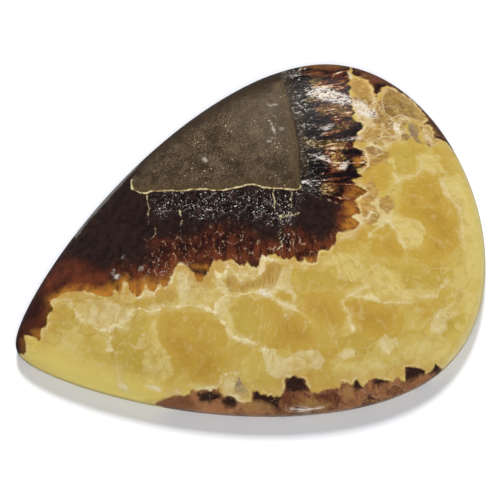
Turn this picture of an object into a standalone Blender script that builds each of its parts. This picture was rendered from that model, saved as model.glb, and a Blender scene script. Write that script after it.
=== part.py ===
"""A pear cut cabochon of banded calcite: one polished stone with a flat back, a thin girdle and a low dome.

The stone lies on its back. Its tip points to -X, its round end to +X, and its dome faces +Z.
The origin is at the middle of the back. All values are in metres.
"""

import math

import bmesh
import bpy

# Driving dimensions
LENGTH = 0.0420          # tip to round end, along X
WIDTH = 0.0303           # across the widest place, along Y
HEIGHT = 0.0070          # flat back to the crown of the dome
GIRDLE_TOP = 0.0016      # where the upright girdle turns into the dome
BACK_BEVEL = 0.0004      # small bevel that takes the sharp edge off the back
WIDEST_SHARE = 0.687     # share of the length from the tip to the widest place

# How the outline swells: 2 is an ellipse, less is leaner, more is fuller
TIP_SWELL = 1.69
TIP_LEAN = 1.12
TIP_ROUNDNESS = 0.23     # 0 is a keen point, 1 is a round nose
ROUND_END_SWELL = 2.48

# Fineness of the faceting
OUTLINE_STEPS = 112
DOME_RINGS = 22

CROWN_X = (WIDEST_SHARE - 0.5) * LENGTH   # the crown stands over the widest place
HALF_WIDTH = WIDTH / 2
TIP_REACH = LENGTH / 2 + CROWN_X
ROUND_REACH = LENGTH / 2 - CROWN_X


def clear_scene():
    for obj in list(bpy.data.objects):
        bpy.data.objects.remove(obj, do_unlink=True)


def pear_outline(angle):
    """The point of the girdle's outline at an angle round the crown: 0 is the round end, pi is the tip."""
    along, across = math.cos(angle), abs(math.sin(angle))
    side = math.copysign(1.0, math.sin(angle))
    if along >= 0:
        return CROWN_X + ROUND_REACH * along ** (2 / ROUND_END_SWELL), side * HALF_WIDTH * across
    lean = across ** (4 / TIP_LEAN) + TIP_ROUNDNESS * across ** 2
    half = HALF_WIDTH * math.sqrt(lean / (1 + TIP_ROUNDNESS))
    return CROWN_X - TIP_REACH * (-along) ** (2 / TIP_SWELL), side * half


def cabochon_profile():
    """Radius and height down the outer side of a round cabochon, from its crown to the middle of its back."""
    dome = []
    for ring in range(DOME_RINGS + 1):
        fall = math.pi / 2 * ring / DOME_RINGS
        height = GIRDLE_TOP + (HEIGHT - GIRDLE_TOP) * math.cos(fall)
        dome.append((HALF_WIDTH * math.sin(fall), height))
    back = [(HALF_WIDTH, BACK_BEVEL), (HALF_WIDTH - BACK_BEVEL, 0.0), (0.0, 0.0)]
    return dome + back


def turned_blank():
    """A round cabochon, turned about the crown, as wide as the pear."""
    mesh = bpy.data.meshes.new("cabochon_profile")
    points = [(radius, 0.0, height) for radius, height in cabochon_profile()]
    mesh.from_pydata(points, [(i, i + 1) for i in range(len(points) - 1)], [])
    blank = bpy.data.objects.new("round_blank", mesh)
    bpy.context.scene.collection.objects.link(blank)
    screw = blank.modifiers.new("turn", "SCREW")
    screw.steps = screw.render_steps = OUTLINE_STEPS
    screw.use_merge_vertices = True
    screw.merge_threshold = 0.00001
    return blank


def drawn_out(mesh):
    """Moves each point of the round blank out to the pear outline, at its own height."""
    for vertex in mesh.vertices:
        share = math.hypot(vertex.co.x, vertex.co.y) / HALF_WIDTH
        edge_x, edge_y = pear_outline(math.atan2(vertex.co.y, vertex.co.x))
        vertex.co.x = CROWN_X + share * (edge_x - CROWN_X)
        vertex.co.y = share * edge_y


def polished_calcite():
    material = bpy.data.materials.new("polished_calcite")
    material.use_nodes = True
    shader = material.node_tree.nodes["Principled BSDF"]
    shader.inputs["Base Color"].default_value = (0.55, 0.41, 0.10, 1.0)
    shader.inputs["Roughness"].default_value = 0.12
    shader.inputs["Metallic"].default_value = 0.0
    return material


def cabochon(collection):
    """The whole stone, one solid."""
    blank = turned_blank()
    graph = bpy.context.evaluated_depsgraph_get()
    mesh = bpy.data.meshes.new_from_object(blank.evaluated_get(graph))
    bpy.data.objects.remove(blank, do_unlink=True)
    drawn_out(mesh)

    shape = bmesh.new()
    shape.from_mesh(mesh)
    bmesh.ops.remove_doubles(shape, verts=shape.verts, dist=0.000002)
    bmesh.ops.recalc_face_normals(shape, faces=shape.faces)
    shape.to_mesh(mesh)
    shape.free()

    mesh.name = "pear_cabochon"
    mesh.materials.clear()
    mesh.materials.append(polished_calcite())
    mesh.shade_smooth()
    mesh.set_sharp_from_angle(angle=math.radians(30))
    stone = bpy.data.objects.new("pear_cabochon", mesh)
    collection.objects.link(stone)
    return stone


def main():
    clear_scene()
    collection = bpy.data.collections.new("pear_cut_cabochon")
    bpy.context.scene.collection.children.link(collection)
    cabochon(collection)


main()
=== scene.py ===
"""The looks of a pear cut cabochon, cut from a nodule of yellow calcite, brown aragonite and mudstone."""

import math

import bpy
import numpy as np
from mathutils import Matrix, Vector


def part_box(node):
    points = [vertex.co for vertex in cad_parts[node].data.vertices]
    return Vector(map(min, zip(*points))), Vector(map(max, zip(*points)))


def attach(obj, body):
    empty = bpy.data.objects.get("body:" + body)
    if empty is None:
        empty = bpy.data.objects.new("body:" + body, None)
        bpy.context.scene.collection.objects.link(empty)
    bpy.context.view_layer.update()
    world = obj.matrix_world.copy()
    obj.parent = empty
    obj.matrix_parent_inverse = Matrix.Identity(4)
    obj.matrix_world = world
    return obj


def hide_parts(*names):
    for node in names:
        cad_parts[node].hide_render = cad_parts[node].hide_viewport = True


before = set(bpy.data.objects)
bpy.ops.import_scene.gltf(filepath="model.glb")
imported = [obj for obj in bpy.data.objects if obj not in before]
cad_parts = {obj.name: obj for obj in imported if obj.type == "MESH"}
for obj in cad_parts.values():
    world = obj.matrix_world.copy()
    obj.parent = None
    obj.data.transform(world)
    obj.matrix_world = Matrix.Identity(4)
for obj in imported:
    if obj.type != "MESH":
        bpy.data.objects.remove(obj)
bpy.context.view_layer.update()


# The camera. It looks down on the dome from a little in front of the stone, through a long lens,
# as the photograph does. Places on the stone are given further down as pixels of that photograph.
PICTURE_SIZE = 500
AZIMUTH = math.radians(-20.3)
ELEVATION = math.radians(80)
CAMERA_DISTANCE = 0.300
PIXELS_PER_METRE = 11440          # at the middle of the stone's back
BACK_MIDDLE_PIXEL = (244.1, 269.9)

camera_back = Vector((
    math.sin(AZIMUTH) * math.cos(ELEVATION),
    -math.cos(AZIMUTH) * math.cos(ELEVATION),
    math.sin(ELEVATION),
))
camera_right = Vector((math.cos(AZIMUTH), math.sin(AZIMUTH), 0))
camera_up = camera_back.cross(camera_right)
aim = (
    camera_right * (PICTURE_SIZE / 2 - BACK_MIDDLE_PIXEL[0]) / PIXELS_PER_METRE
    + camera_up * (BACK_MIDDLE_PIXEL[1] - PICTURE_SIZE / 2) / PIXELS_PER_METRE
)
camera_place = aim + camera_back * CAMERA_DISTANCE
focal_pixels = PIXELS_PER_METRE * CAMERA_DISTANCE

camera_data = bpy.data.cameras.new("camera")
camera_data.lens = focal_pixels * camera_data.sensor_width / PICTURE_SIZE
camera_data.clip_start = 0.01
camera = bpy.data.objects.new("camera", camera_data)
camera.matrix_world = Matrix.Translation(camera_place) @ Matrix(
    (camera_right, camera_up, camera_back)
).transposed().to_4x4()
bpy.context.scene.collection.objects.link(camera)
bpy.context.scene.camera = camera


# The stone. A slice of a septarian nodule, sawn flat at the back, ground to a pear with a thin upright
# girdle and a low dome, and polished all over. It is one solid, and its minerals are bands in it.
stone_low, stone_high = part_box("pear_cabochon")
LENGTH = stone_high.x - stone_low.x
WIDTH = stone_high.y - stone_low.y
HEIGHT = stone_high.z - stone_low.z
GIRDLE_TOP = 0.0016
BACK_BEVEL = 0.0004
WIDEST_SHARE = 0.687              # of the length, from the tip
TIP_SWELL = 1.69
TIP_LEAN = 1.12
TIP_ROUNDNESS = 0.23
ROUND_END_SWELL = 2.48
CROWN_X = (WIDEST_SHARE - 0.5) * LENGTH
DOME_STEPS = 264                  # quads along each side of the square grid that becomes the dome
GIRDLE_ROWS = 5
BEVEL_ROWS = 4
BACK_GRID_SHARE = 0.95            # how far out the back's own grid reaches, as a share of the way out
EVEN_FALL = 0.717                 # share of the way down the dome that its rings take at an even pace
LATE_FALL_POWER = 4.5             # how late they take the rest, so that they don't crowd at the edge
MERGE_DISTANCE = 0.000002
MM = 1000                         # millimetres in a metre


class Wire:
    """A value on its way through a node tree. Python's signs between wires and numbers become Math nodes."""

    def __init__(self, tree, socket=None):
        self.tree = tree
        self.socket = socket

    def node(self, kind, settings=None, values=None, output=0):
        """Any node: its settings or a ramp's stops are set first, then its sockets get numbers or wires."""
        made = self.tree.nodes.new(kind)
        for name, value in (settings or {}).items():
            if name == "stops":
                steps = made.color_ramp.elements
                steps.remove(steps[1])
                steps[0].position, steps[0].color = value[0]
                for position, colour in value[1:]:
                    steps.new(position).color = colour
            else:
                setattr(made, name, value)
        for place, value in (values or {}).items():
            if isinstance(value, Wire):
                self.tree.links.new(value.socket, made.inputs[place])
            else:
                made.inputs[place].default_value = value
        return Wire(self.tree, made.outputs[output])

    def maths(self, operation, *values):
        return self.node("ShaderNodeMath", {"operation": operation}, dict(enumerate(values)))

    def __add__(self, other):
        return self.maths("ADD", self, other)

    def __sub__(self, other):
        return self.maths("SUBTRACT", self, other)

    def __rsub__(self, other):
        return self.maths("SUBTRACT", other, self)

    def __mul__(self, other):
        return self.maths("MULTIPLY", self, other)

    def __truediv__(self, other):
        return self.maths("DIVIDE", self, other)

    def __rtruediv__(self, other):
        return self.maths("DIVIDE", other, self)

    def __pow__(self, other):
        return self.maths("POWER", self, other)

    def __gt__(self, other):
        return self.maths("GREATER_THAN", self, other)

    def __lt__(self, other):
        return self.maths("LESS_THAN", self, other)

    def __abs__(self):
        return self.maths("ABSOLUTE", self)

    __radd__ = __add__
    __rmul__ = __mul__

    def at_least(self, other):
        return self.maths("MAXIMUM", self, other)

    def at_most(self, other):
        return self.maths("MINIMUM", self, other)

    def rise(self, low, high):
        """0 below low, 1 above high, smooth between."""
        return self.node("ShaderNodeMapRange", {"interpolation_type": "SMOOTHSTEP"},
                         {"Value": self, "From Min": low, "From Max": high})

    def between(self, colour, other):
        """The first colour where this mask is 0, the other where it is 1."""
        return self.node("ShaderNodeMix", {"data_type": "RGBA"}, {0: self, 6: colour, 7: other}, 2)

    def part(self, axis):
        """One of a vector's three numbers: X, Y or Z."""
        return self.node("ShaderNodeSeparateXYZ", {}, {0: self}, axis)

    def stretched(self, scale):
        """A place with each of its three numbers scaled."""
        return self.node("ShaderNodeMapping", {}, {"Vector": self, "Scale": scale})


# The stone's shape, by the rule that the cutter's template follows
def pear_point(share, angle, height, size):
    """Where a point lies that is a share of the way out from the crown, at an angle round the crown."""
    along = angle.maths("COSINE", angle)
    across = abs(angle.maths("SINE", angle))
    side = angle.maths("SIGN", angle.maths("SINE", angle))
    ahead = along.at_least(0)
    behind = (0 - along).at_least(0)
    round_end_half = across
    lean = across ** (4 / size["Tip lean"]) + size["Tip roundness"] * across ** 2
    tip_half = (lean / (1 + size["Tip roundness"])) ** 0.5
    is_tip = behind > 0
    half = (is_tip * tip_half + (1 - is_tip) * round_end_half) * size["Width"] * 0.5
    crown = (size["Widest share"] - 0.5) * size["Length"]
    reach = (
        ahead ** (2 / size["Round end swell"]) * (size["Length"] * 0.5 - crown)
        - behind ** (2 / size["Tip swell"]) * (size["Length"] * 0.5 + crown)
    )
    return angle.node("ShaderNodeCombineXYZ", {},
                      {"X": crown + share * reach, "Y": share * half * side, "Z": height})


def square_grid(hand, side):
    """A grid from -1 to 1 each way, with so many points along a side."""
    return hand.node("GeometryNodeMeshGrid", {},
                     {"Size X": 2, "Size Y": 2, "Vertices X": side, "Vertices Y": side})


def disc_from_square(hand):
    """How far out and at what angle a point of a square grid lies, once the square is drawn into a disc."""
    position = hand.node("GeometryNodeInputPosition")
    grid_x = position.part("X")
    grid_y = position.part("Y")
    out = abs(grid_x).at_least(abs(grid_y)).at_most(1)
    is_side = abs(grid_x) > abs(grid_y)
    side_angle = grid_y / grid_x * (math.pi / 4) + (grid_x < 0) * math.pi
    end_angle = grid_y.maths("SIGN", grid_y) * (math.pi / 2) - grid_x / grid_y * (math.pi / 4)
    return out, is_side * side_angle + (1 - is_side) * end_angle


def moved(geometry, place):
    """Geometry with each of its points put where this says."""
    return geometry.node("GeometryNodeSetPosition", {}, {"Geometry": geometry, "Position": place})


def polished_shape(material):
    """The node tree of the stone: a dome, a girdle with its bevel, and a flat back, joined into one skin."""
    tree = bpy.data.node_groups.new("cabochon", "GeometryNodeTree")
    hand = Wire(tree)
    whole_numbers = ("Dome steps", "Girdle rows", "Bevel rows")
    names = ("Length", "Width", "Height", "Girdle top", "Back bevel", "Widest share",
             "Tip swell", "Tip lean", "Tip roundness", "Round end swell", "Back grid share")
    for name in names + whole_numbers:
        kind = "NodeSocketInt" if name in whole_numbers else "NodeSocketFloat"
        tree.interface.new_socket(name=name, in_out="INPUT", socket_type=kind)
    tree.interface.new_socket(name="Stone", in_out="OUTPUT", socket_type="NodeSocketGeometry")
    given = tree.nodes.new("NodeGroupInput")
    size = {name: Wire(tree, given.outputs[name]) for name in names + whole_numbers}

    # The dome: a square grid drawn into a disc, its rings at an even pace down the curve of the dome
    dome = square_grid(hand, size["Dome steps"] + 1)
    out, angle = disc_from_square(hand)
    fall = (out * EVEN_FALL + out ** LATE_FALL_POWER * (1 - EVEN_FALL)) * (math.pi / 2)
    height = size["Girdle top"] + (size["Height"] - size["Girdle top"]) * fall.maths("COSINE", fall)
    dome = moved(dome, pear_point(fall.maths("SINE", fall), angle, height, size))

    # The girdle and the rounded bevel under it: a strip wrapped round the edge
    girdle_share = size["Girdle rows"] / (size["Girdle rows"] + size["Bevel rows"])
    strip = hand.node("GeometryNodeMeshGrid", {}, {
        "Size X": 2 * math.pi, "Size Y": 1, "Vertices X": size["Dome steps"] * 4 + 1,
        "Vertices Y": size["Girdle rows"] + size["Bevel rows"] + 1,
    })
    position = hand.node("GeometryNodeInputPosition")
    wrap = position.part("X")
    down = 0.5 - position.part("Y")
    turn = (down - girdle_share).at_least(0) / (1 - girdle_share) * (math.pi / 2)
    drop = (down / girdle_share).at_most(1) * (size["Girdle top"] - size["Back bevel"])
    tuck = size["Back bevel"] / (size["Width"] * 0.5)
    strip_share = 1 - tuck * (1 - turn.maths("COSINE", turn))
    strip_height = size["Girdle top"] - drop - size["Back bevel"] * turn.maths("SINE", turn)
    strip = moved(strip, pear_point(strip_share, wrap, strip_height, size))

    # The flat back: a coarser grid, and a filled ring that joins it to the fine edge
    loops = []
    for per_step, share in ((4, 1 - tuck), (2, size["Back grid share"])):
        loop = hand.node("GeometryNodeCurvePrimitiveCircle", {},
                         {"Resolution": size["Dome steps"] * per_step, "Radius": 1})
        position = hand.node("GeometryNodeInputPosition")
        angle = position.maths("ARCTAN2", position.part("Y"), position.part("X"))
        loops.append(moved(loop, pear_point(share, angle, 0, size)))
    both_loops = hand.node("GeometryNodeJoinGeometry", {}, {0: loops[0]})
    tree.links.new(loops[1].socket, both_loops.socket.node.inputs[0])
    ring = hand.node("GeometryNodeFillCurve", {}, {0: both_loops})
    back = square_grid(hand, size["Dome steps"] * 0.5 + 1)
    out, angle = disc_from_square(hand)
    back = moved(back, pear_point(out * size["Back grid share"], angle, 0, size))

    skin = hand.node("GeometryNodeJoinGeometry", {}, {0: dome})
    for part in (strip, hand.node("GeometryNodeFlipFaces", {}, {0: ring}),
                 hand.node("GeometryNodeFlipFaces", {}, {0: back})):
        tree.links.new(part.socket, skin.socket.node.inputs[0])
    skin = hand.node("GeometryNodeMergeByDistance", {}, {"Geometry": skin, "Distance": MERGE_DISTANCE})
    skin = hand.node("GeometryNodeRealizeInstances", {}, {0: skin})
    skin = hand.node("GeometryNodeSetMaterial", {}, {"Geometry": skin, "Material": material})
    tree.links.new(skin.socket, tree.nodes.new("NodeGroupOutput").inputs[0])
    return tree


banded_calcite = bpy.data.materials.new("banded_calcite")
blank = bpy.data.objects.new("polished_stone", bpy.data.meshes.new("blank"))
bpy.context.scene.collection.objects.link(blank)
cutting = blank.modifiers.new("cutting", "NODES")
cutting.node_group = polished_shape(banded_calcite)
cut_sizes = {
    "Length": LENGTH, "Width": WIDTH, "Height": HEIGHT, "Girdle top": GIRDLE_TOP, "Back bevel": BACK_BEVEL,
    "Widest share": WIDEST_SHARE, "Tip swell": TIP_SWELL, "Tip lean": TIP_LEAN,
    "Tip roundness": TIP_ROUNDNESS, "Round end swell": ROUND_END_SWELL,
    "Back grid share": BACK_GRID_SHARE, "Dome steps": DOME_STEPS,
    "Girdle rows": GIRDLE_ROWS, "Bevel rows": BEVEL_ROWS,
}
for item in cutting.node_group.interface.items_tree:
    if item.in_out == "INPUT":
        cutting[item.identifier] = cut_sizes[item.name]
graph = bpy.context.evaluated_depsgraph_get()
stone_mesh = bpy.data.meshes.new_from_object(blank.evaluated_get(graph))
bpy.data.objects.remove(blank, do_unlink=True)
stone_mesh.name = "polished_stone"
stone_mesh.shade_smooth()
polished_stone = bpy.data.objects.new("polished_stone", stone_mesh)
bpy.context.scene.collection.objects.link(polished_stone)


# How the minerals lie in the stone. The layers of the nodule lean a little, so each point of the back and
# the sides is traced up along them to the dome, where the photograph shows them. The distances between a
# point of the stone and the outlines further down are millimetres.
LAYER_LEAN = np.array((0.32, -0.45))    # how far a layer runs in X and Y for each millimetre down
FAN_RADIUS = 2.5                  # how widely the fibres of the coat fan out round a corner they grow on
FAR_OUTSIDE = -9.0                # a point further than this from an outline counts as this far
MARK_LIMIT = 60                   # no mark written on the stone goes past this
SIGHT_STEPS = 20                  # rounds that settle where a line of sight meets the dome
LEVEL_SIDE_RISE = 1e-9            # stands in for the rise of an outline's side that has none
stone_mesh.materials.clear()
stone_mesh.materials.append(banded_calcite)
surface = np.empty(len(stone_mesh.vertices) * 3, np.float32)
stone_mesh.vertices.foreach_get("co", surface)
surface = surface.reshape(-1, 3).astype(float)
girdle = surface[np.abs(surface[:, 2] - GIRDLE_TOP) < MERGE_DISTANCE / 2]
girdle_angle = np.arctan2(girdle[:, 1], girdle[:, 0] - CROWN_X)
girdle_reach = np.hypot(girdle[:, 1], girdle[:, 0] - CROWN_X)


def share_out(x, y):
    """How far out these places are, as a share of the way from the crown to the edge."""
    reach = np.interp(np.arctan2(y, x - CROWN_X), girdle_angle, girdle_reach, period=2 * math.pi)
    return np.hypot(y, x - CROWN_X) / reach


def dome_height(x, y):
    """The height of the dome over these places of the back, and of the girdle's top outside them."""
    return GIRDLE_TOP + (HEIGHT - GIRDLE_TOP) * np.sqrt(np.maximum(1 - share_out(x, y) ** 2, 0))


def seen_at(pixels):
    """The places on the dome, along and across the stone, that the photograph shows at these pixels."""
    pixels = np.array(pixels, float) - PICTURE_SIZE / 2
    sight = (
        np.outer(pixels[:, 0], camera_right)
        - np.outer(pixels[:, 1], camera_up)
        - focal_pixels * np.array(camera_back)
    )
    height = np.full(len(pixels), HEIGHT)
    for _ in range(SIGHT_STEPS):
        reach = (height - camera_place.z) / sight[:, 2]
        x = camera_place.x + reach * sight[:, 0]
        y = camera_place.y + reach * sight[:, 1]
        height = (height + dome_height(x, y)) / 2
    return np.stack([x, y], 1) * MM


below_dome = MM * (dome_height(surface[:, 0], surface[:, 1]) - surface[:, 2])[:, None]
pattern = surface[:, :2] * MM - np.maximum(below_dome, 0) * LAYER_LEAN


def nearest_on(path):
    """How far each point of the stone lies from a line, and a measure that grows along it and round it."""
    nearest = np.full(len(pattern), np.inf)
    place = np.zeros(len(pattern))
    passed = 0.0
    for start, end in zip(path[:-1], path[1:]):
        way = end - start
        length = math.hypot(*way)
        share = np.clip((pattern - start) @ way / length ** 2, 0, 1)
        offset = pattern - start - share[:, None] * way
        gap = np.hypot(*offset.T)
        heading = (np.arctan2(offset[:, 1], offset[:, 0]) - math.pi / 2) % (2 * math.pi)
        place = np.where(gap < nearest, passed + share * length + FAN_RADIUS * heading, place)
        nearest = np.minimum(nearest, gap)
        passed += length
    return nearest, place


def inside(outlines):
    """How deep each point of the stone lies within the nearest of these outlines: below 0 outside them."""
    depth = np.full(len(pattern), FAR_OUTSIDE)
    for outline in outlines:
        corners = seen_at(outline + outline[:1])
        gap = nearest_on(corners)[0]
        within = np.zeros(len(pattern), bool)
        for start, end in zip(corners[:-1], corners[1:]):
            spans = (start[1] > pattern[:, 1]) != (end[1] > pattern[:, 1])
            slope = (end[0] - start[0]) / ((end[1] - start[1]) or LEVEL_SIDE_RISE)
            within ^= spans & (pattern[:, 0] < start[0] + slope * (pattern[:, 1] - start[1]))
        depth = np.maximum(depth, np.where(within, gap, -gap))
    return depth


def along(lines):
    """How near each point of the stone is to these lines: 0 on a line, and less further off."""
    return -np.min([nearest_on(seen_at(line))[0] for line in lines], axis=0)


def mark(name, values):
    """Writes a number for each point of the stone, for the material to read."""
    kind, field = ("FLOAT_VECTOR", "vector") if np.ndim(values) == 2 else ("FLOAT", "value")
    attribute = stone_mesh.attributes.new(name, kind, "POINT")
    attribute.data.foreach_set(field, np.clip(values, -MARK_LIMIT, MARK_LIMIT).astype(np.float32).ravel())


# The mudstone that the nodule grew round. The lower and right sides of this outline are its real faces.
MUDSTONE = [
    (131, 183), (132, 188), (136, 191), (141, 193), (147, 193), (151, 191), (161, 191), (171, 190),
    (181, 191), (191, 189.5), (206, 189), (214, 190), (224, 190), (234, 188), (243, 186), (248, 184.5),
    (254, 184.5), (262, 187), (272, 188), (284, 189), (297, 190), (300.5, 188), (300, 180), (299, 165),
    (299, 150), (297, 138), (294, 124), (291, 112), (289, 100), (286, 90), (282, 80), (270, 83), (250, 90),
    (230, 99), (210, 110), (190, 124), (170, 138), (152, 153), (143, 162), (137, 171), (133, 177),
]
MUDSTONE_LOWER_FACE = MUDSTONE[:22]
MUDSTONE_RIGHT_FACE = MUDSTONE[21:31]
MUDSTONE_FACES = MUDSTONE[:31]

# The brown aragonite that coats it, with the teeth of its crystals along its outer side
BROWN_COAT = [
    (-30, 362), (-30, 300), (30, 190), (110, 90), (180, 50), (265, 10), (352, 10), (352, 66), (348, 72),
    (350, 80), (348, 84), (352, 88), (349, 93), (352, 100), (352, 107), (355, 113), (352, 118), (357, 121),
    (365, 125), (360, 131), (356, 136), (362, 137), (354, 141), (354, 147), (359, 149), (366, 154),
    (361, 158), (367, 163), (362, 168), (356, 170), (362, 176), (357, 179), (352, 181), (357, 185),
    (362, 188), (367, 192), (362, 196), (356, 199), (353, 201), (357, 204), (360, 209), (361, 213),
    (354, 214), (352, 217), (356, 219), (361, 223), (357, 227), (352, 230), (345, 232), (338, 231),
    (337, 238), (335, 244), (331, 248), (326, 251), (320, 251), (317, 256), (316, 261), (311, 264),
    (306, 262), (304, 257), (301, 262), (298, 262), (294, 257), (291, 259), (284, 259), (280, 258),
    (277, 255), (272, 254), (268, 257), (262, 256), (260, 262), (257, 267), (254, 268), (250, 265),
    (246, 262), (243, 267), (240, 265), (236, 262), (230, 260), (224, 261), (216, 260), (212, 263),
    (209, 268), (208, 272), (205, 277), (201, 284), (197, 281), (194, 275), (191, 271), (188, 266),
    (181, 263), (178, 264), (176, 267), (173, 272), (170, 278), (168, 285), (165, 288), (162, 286),
    (159, 282), (156, 288), (153, 292), (150, 291), (147, 287), (145, 283), (144, 290), (141, 295),
    (137, 296.5), (133, 294), (130, 290), (128, 284), (125, 281), (123, 284), (122, 290), (121, 298),
    (119, 297), (116, 291), (113, 287), (112, 290), (113, 296), (104, 296), (96, 296), (91, 292), (84, 291),
    (75, 291), (68, 293), (62, 295), (57, 298), (53, 299), (49, 300), (51, 304), (54, 309), (55, 312),
    (50, 313), (48, 316), (48, 323), (47, 327), (42, 329), (41, 334), (42, 341), (38, 341), (34, 338),
    (30, 336), (24, 335), (26, 344), (27, 352), (25, 355), (20, 355), (14, 350),
]
# The same aragonite again on the far side of the calcite, where it reaches the stone's rim
BROWN_RIMS = [
    [(350, 50), (352, 73), (357, 77), (363, 78), (368, 81), (372, 86), (374, 92), (376, 97), (379, 93),
     (383, 88), (388, 86.5), (395, 89), (403, 94), (411, 99), (418, 106), (424, 114), (428, 121),
     (424, 124), (430, 124), (434, 132), (434, 138), (440, 139), (446, 143), (452, 150), (475, 150),
     (430, 90), (390, 60)],
    [(150, 425), (152, 405), (162, 400), (172, 396), (178, 394), (184, 394.5), (190, 393), (192, 390),
     (197, 391), (204, 390), (212, 390.5), (216, 388), (219, 389), (221, 393), (223, 397), (228, 396),
     (234, 397), (238, 401), (244, 402), (251, 401), (253, 389.5), (258, 392), (264, 394.5), (272, 396),
     (280, 396.5), (283, 392), (284.5, 386), (284, 380), (287, 376), (290, 377), (293, 374), (297, 376),
     (301, 377), (305, 380), (305, 384), (309, 389), (311, 393), (318, 393), (324, 389), (331, 387.5),
     (338, 388), (340, 386), (342, 382), (347, 383), (353, 387), (354, 381), (357, 379), (360, 383),
     (363, 386), (366, 382), (369, 380), (376, 378), (384, 380), (393, 383), (397, 376.5), (401, 379),
     (404.5, 381), (405, 372), (406, 367), (416, 367), (422, 368), (426, 369.5), (426, 373), (431, 369.5),
     (435, 364), (442, 369.5), (450, 372), (440, 400), (300, 440)],
]
# Where the coat is red rather than black, because it is thinner there or light gets into it
RED_PARTS = [
    [(14, 352), (18, 325), (36, 296), (52, 268), (64, 262), (60, 285), (50, 300), (48, 316), (38, 338),
     (26, 354)],
    [(59, 262), (62, 283), (50, 290), (50, 297), (70, 292), (90, 291), (108, 284), (110, 272), (95, 270),
     (88, 264), (78, 259), (66, 259)],
    [(150, 238), (190, 236), (212, 224), (240, 222), (262, 240), (280, 240), (284, 226), (300, 228),
     (320, 240), (338, 232), (338, 248), (300, 266), (262, 260), (225, 264), (190, 268), (165, 280),
     (148, 285), (120, 280), (108, 270), (120, 264), (146, 262)],
    [(320, 79), (330, 76), (345, 70), (352, 82), (352, 88), (340, 86), (328, 85), (320, 84)],
    [(331, 121), (336, 116), (345, 116), (355, 113), (353, 120), (345, 123), (336, 124)],
    [(338, 178), (350, 181), (370, 192), (364, 230), (340, 238), (336, 214), (342, 200), (330, 194)],
    [(278, 396), (284, 391), (296, 392), (300, 400), (292, 406), (282, 404)],
    [(312, 397), (325, 391), (338, 390), (342, 404), (320, 407)],
    [(150, 398), (168, 394), (190, 395), (196, 410), (160, 412)],
    [(394, 88), (404, 92), (414, 103), (424, 116), (420, 118), (408, 104), (398, 96)],
]
# Clear orange tips of the teeth
AMBER_TIPS = [
    [(128, 284), (132, 281), (140, 280), (144, 283), (144, 290), (141, 295), (137, 296.5), (133, 294),
     (130, 290)],
    [(145, 284), (150, 282), (156, 283), (157, 286), (153, 291.5), (150, 291), (147, 287)],
    [(120, 284), (124, 281), (126, 286), (124, 298), (121, 298)],
    [(92, 291), (100, 286), (108, 285), (113, 290), (113, 297), (104, 297), (96, 296)],
    [(160, 281), (169, 280), (166, 288), (162, 286)],
    [(192, 273), (205, 276), (201, 284), (197, 281)],
    [(190, 265), (200, 264), (209, 265), (208, 270), (196, 269)],
    [(216, 265), (221, 262), (226, 265), (225, 272), (222, 276), (218, 273)],
    [(341, 204), (346, 201), (353, 202), (357, 205), (359, 211), (353, 214), (346, 215), (341, 211)],
    [(341, 219), (350, 217), (356, 219), (361, 223), (356, 227), (350, 230), (342, 229)],
    [(344, 188), (352, 187), (361, 189), (366, 192), (360, 196), (350, 197), (344, 194)],
    [(353, 159), (358, 157), (362, 161), (360, 166), (355, 166)],
    [(305, 258), (310, 256), (317, 257), (316, 261), (311, 264), (307, 262)],
    [(30, 331), (36, 328), (40, 330), (42, 341), (38, 341), (34, 338)],
    [(20, 339), (24, 338), (26, 346), (26, 354), (21, 354)],
    [(304, 67), (320, 64), (345, 64), (346, 68), (335, 70), (315, 69)],
    [(308, 73), (318, 71), (324, 73), (320, 76), (312, 76)],
    [(410, 378), (420, 374), (428, 377), (424, 384), (412, 386)],
    [(340, 388), (346, 384), (350, 388), (352, 398), (344, 402)],
]
# Where the coat is full of tiny white crystals that stand beside the mudstone
FLECKED = [
    [(149, 193), (180, 191), (240, 188), (300, 190), (300, 150), (290, 110), (285, 82), (300, 84),
     (322, 90), (322, 120), (326, 140), (316, 160), (318, 168), (304, 190), (300, 205), (290, 228),
     (262, 226), (235, 216), (205, 224), (175, 212), (155, 224)],
    [(145, 262), (160, 262), (172, 266), (158, 282), (148, 278)],
    [(278, 188), (300, 190), (296, 222), (290, 240), (280, 240)],
]
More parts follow.
